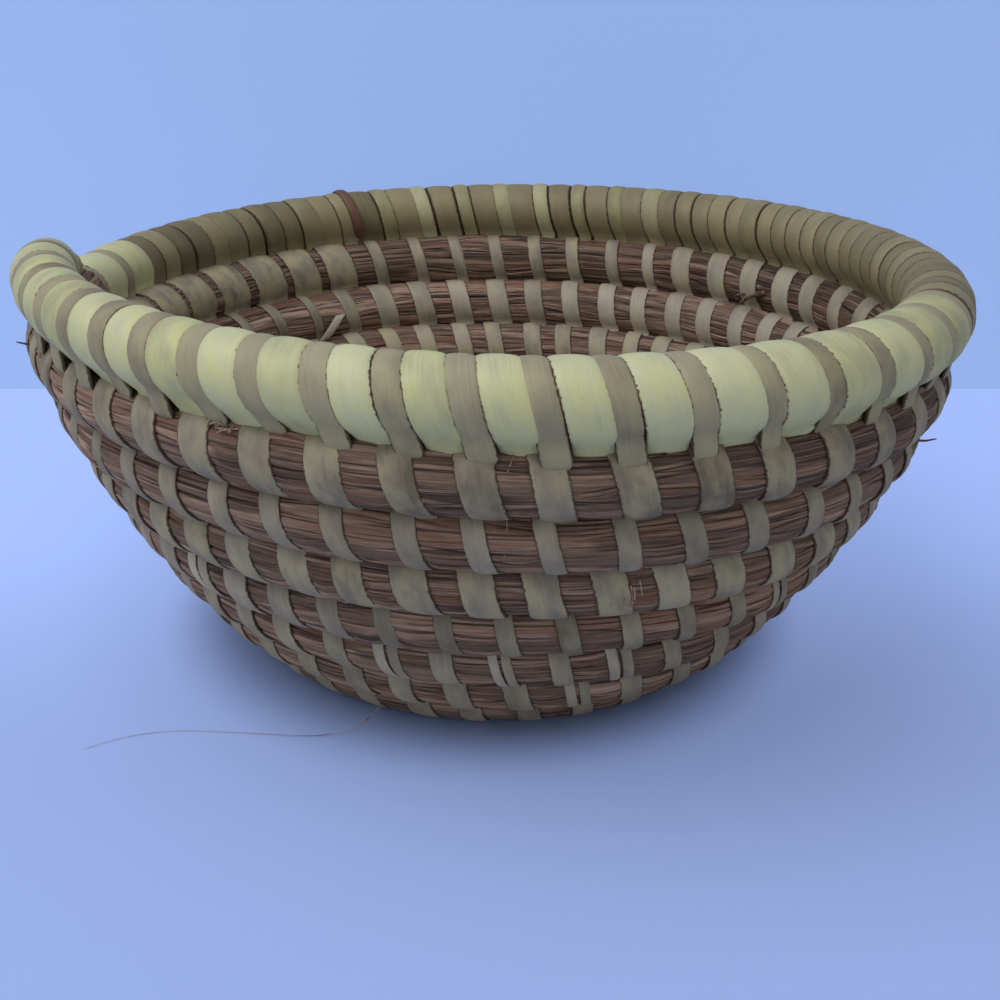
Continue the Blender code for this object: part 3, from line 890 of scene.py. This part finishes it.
ends = []
for number in range(tuft["count"]):            # a frayed tuft under the rim at the front left
    back = tuft["from"] + tuft["apart"] * number
    foot = onCoil(back, luck.uniform(60, 72), -0.4)
    tip = onCoil(back + luck.uniform(-0.004, 0.004), luck.uniform(48, 80), luck.uniform(1.2, 2.4))
    middle = 0.5 * (foot + tip) + luck.normal(0, 0.3, 3)
    ends.append(fibre([foot, middle, tip], tuft["radius"], luck.uniform(*tuft["tones"])))
for number in range(wornStitch["count"]):      # a worn stitch at the front of the third course
    back = wornStitch["from"] + wornStitch["apart"] * number
    turned = luck.uniform(10, 40)
    foot = onCoil(back, turned + 25, 0.1)
    tip = onCoil(back + luck.uniform(-0.002, 0.002), turned - 12, 0.9)
    middle = 0.5 * (foot + tip) + luck.normal(0, 0.4, 3)
    tone = luck.uniform(*wornStitch["tones"])
    ends.append(fibre([foot, middle, tip], wornStitch["radius"], tone))
for stops, radius, tone in singleEnds:
    ends.append(fibre([onCoil(*stop) for stop in stops], radius, tone))
ends.append(fibre(strayHair, loose["hair"], loose["straw"]))
makePiece("loose_stem_ends", ends, brownGrass, [])

endPath = pathThrough([onCoil(*stop) for stop in leafEnd["stops"]], leafEnd["rows"])
endAhead = np.repeat(coilFrame(np.array([turnsInAll - leafEnd["heading"]]))[1], leafEnd["rows"], 0)
end = sweepStrip(endPath, endAhead, np.full(leafEnd["rows"], leafEnd["width"]), leafEnd["tone"],
                 0.0, np.linspace(0.0, leafEnd["bias"], leafEnd["rows"]), leafEnd, leafEnd["seed"])
makePiece("loose_leaf_end", [end], oliveLeaf, [])
print("loose ends added")

# Floor, backdrop, light and camera, in metres
black = (0.0, 0.0, 0.0, 1.0)
setting = {
    "floor": tint(162, 187, 248), "floorGlow": 0.6, "backdrop": tint(163, 194, 253),
    "backdropGlow": 0.5, "bounce": tint(178, 188, 214), "speck": tint(150, 170, 230),
    "speckShare": 0.08, "roughness": 0.85, "shaded": 0.65, "wallAt": 0.178, "reach": 1.6,
    # Painted light and shadow: the camera-only glow fades out towards the foot of the bowl, where
    # it leaves a painted shadow, and fades towards the front and up the backdrop
    "glowFrom": 0.062, "glowTo": 0.086, "near": 0.45, "nearAt": -0.09, "far": 0.47, "farAt": 0.05,
    "fading": 0.16, "fadedAt": 0.16,
    "sky": (1.0, 0.975, 0.92, 1.0), "skyStrength": 0.62, "seenSky": tint(152, 176, 234),
    "keyPower": 9.0, "keySize": 1.1, "keyPlace": (-0.5, -0.22, 1.05), "keyTint": (1.0, 0.98, 0.94),
}


def stagePlane(name, corners, colour, glow):
    made = Finish(name, setting["roughness"])
    speck = made.node("TexNoise", {}, {"Scale": 6.0, "Detail": 2.0})
    seen = made.mix(speck * setting["speckShare"], colour, setting["speck"])
    straight = made.node("LightPath", {}, {}, "Is Camera Ray")
    place = made.node("NewGeometry", {}, {}, "Position")
    level = made.node("VectorMath", {"operation": "MULTIPLY"}, {0: place, 1: (1.0, 1.0, 0.0)})
    away = made.node("VectorMath", {"operation": "LENGTH"}, {0: level}, "Value")
    depth = made.node("SeparateXYZ", {}, {"Vector": place}, "Y")
    high = made.node("SeparateXYZ", {}, {"Vector": place}, "Z")
    # Painted shadow round the bowl's foot and painted light further out, seen only by the camera
    further = made.range(depth, setting["nearAt"], setting["farAt"])
    paintedGlow = made.range(away, setting["glowFrom"], setting["glowTo"])
    paintedGlow = paintedGlow * (setting["near"] + setting["far"] * further)
    paintedGlow = paintedGlow * (1.0 - setting["fading"] * made.range(high, 0.0, setting["fadedAt"]))
    lit = made.mix(setting["shaded"], black, seen)
    made.feed(made.shader.inputs["Base Color"], made.mix(straight, setting["bounce"], lit))
    behind = made.node("NewGeometry", {}, {}, "Backfacing")
    made.feed(made.shader.inputs["Alpha"], 1.0 - behind)
    made.feed(made.shader.inputs["Emission Color"], made.mix(straight * paintedGlow, black, seen))
    made.shader.inputs["Emission Strength"].default_value = glow
    mesh = bpy.data.meshes.new(name)
    mesh.from_pydata(corners, [], [(0, 1, 2, 3)])
    mesh.materials.append(made.material)
    plane = bpy.data.objects.new(name, mesh)
    bpy.context.scene.collection.objects.link(plane)


far, back = setting["reach"], setting["wallAt"]
stagePlane("floor", [(-far, -far, 0), (far, -far, 0), (far, back, 0), (-far, back, 0)],
           setting["floor"], setting["floorGlow"])
stagePlane("backdrop", [(-far, back, 0), (far, back, 0), (far, back, far), (-far, back, far)],
           setting["backdrop"], setting["backdropGlow"])

# The world is one colour as light and another as it is seen
world = bpy.data.worlds.new("soft_light")
bpy.context.scene.world = world
world.use_nodes = True
skyNodes, sky = world.node_tree.nodes, world.node_tree.nodes["Background"]
sky.inputs["Color"].default_value = setting["sky"]
sky.inputs["Strength"].default_value = setting["skyStrength"]
seenSky, whichSky, rays = [skyNodes.new("ShaderNode" + kind)
                           for kind in ("Background", "MixShader", "LightPath")]
seenSky.inputs["Color"].default_value = setting["seenSky"]
for start, end in (
        (rays.outputs["Is Camera Ray"], whichSky.inputs[0]), (sky.outputs[0], whichSky.inputs[1]),
        (seenSky.outputs[0], whichSky.inputs[2]),
        (whichSky.outputs[0], skyNodes["World Output"].inputs["Surface"])):
    world.node_tree.links.new(start, end)
lamp = bpy.data.lights.new("key_lamp", "AREA")
lamp.energy = setting["keyPower"]
lamp.size = setting["keySize"]
lamp.color = setting["keyTint"]
key = bpy.data.objects.new("key_lamp", lamp)
key.location = setting["keyPlace"]
key.rotation_euler = key.location.to_track_quat("Z", "Y").to_euler()
bpy.context.scene.collection.objects.link(key)

view = {"place": (0.00368, -0.31942, 0.1664), "pitchDown": 0.398, "lens": 48.107,
        "sensor": 36.0, "clip": 0.01, "shift": (0.0052, -0.0105)}
camera = bpy.data.cameras.new("camera")
camera.lens = view["lens"]
camera.sensor_width = view["sensor"]
camera.clip_start = view["clip"]
camera.shift_x, camera.shift_y = view["shift"]
eye = bpy.data.objects.new("camera", camera)
eye.location = view["place"]
eye.rotation_euler = (math.pi / 2 - view["pitchDown"], 0.0, 0.0)
bpy.context.scene.collection.objects.link(eye)
bpy.context.scene.camera = eye
bpy.context.scene.view_settings.view_transform = "Standard"
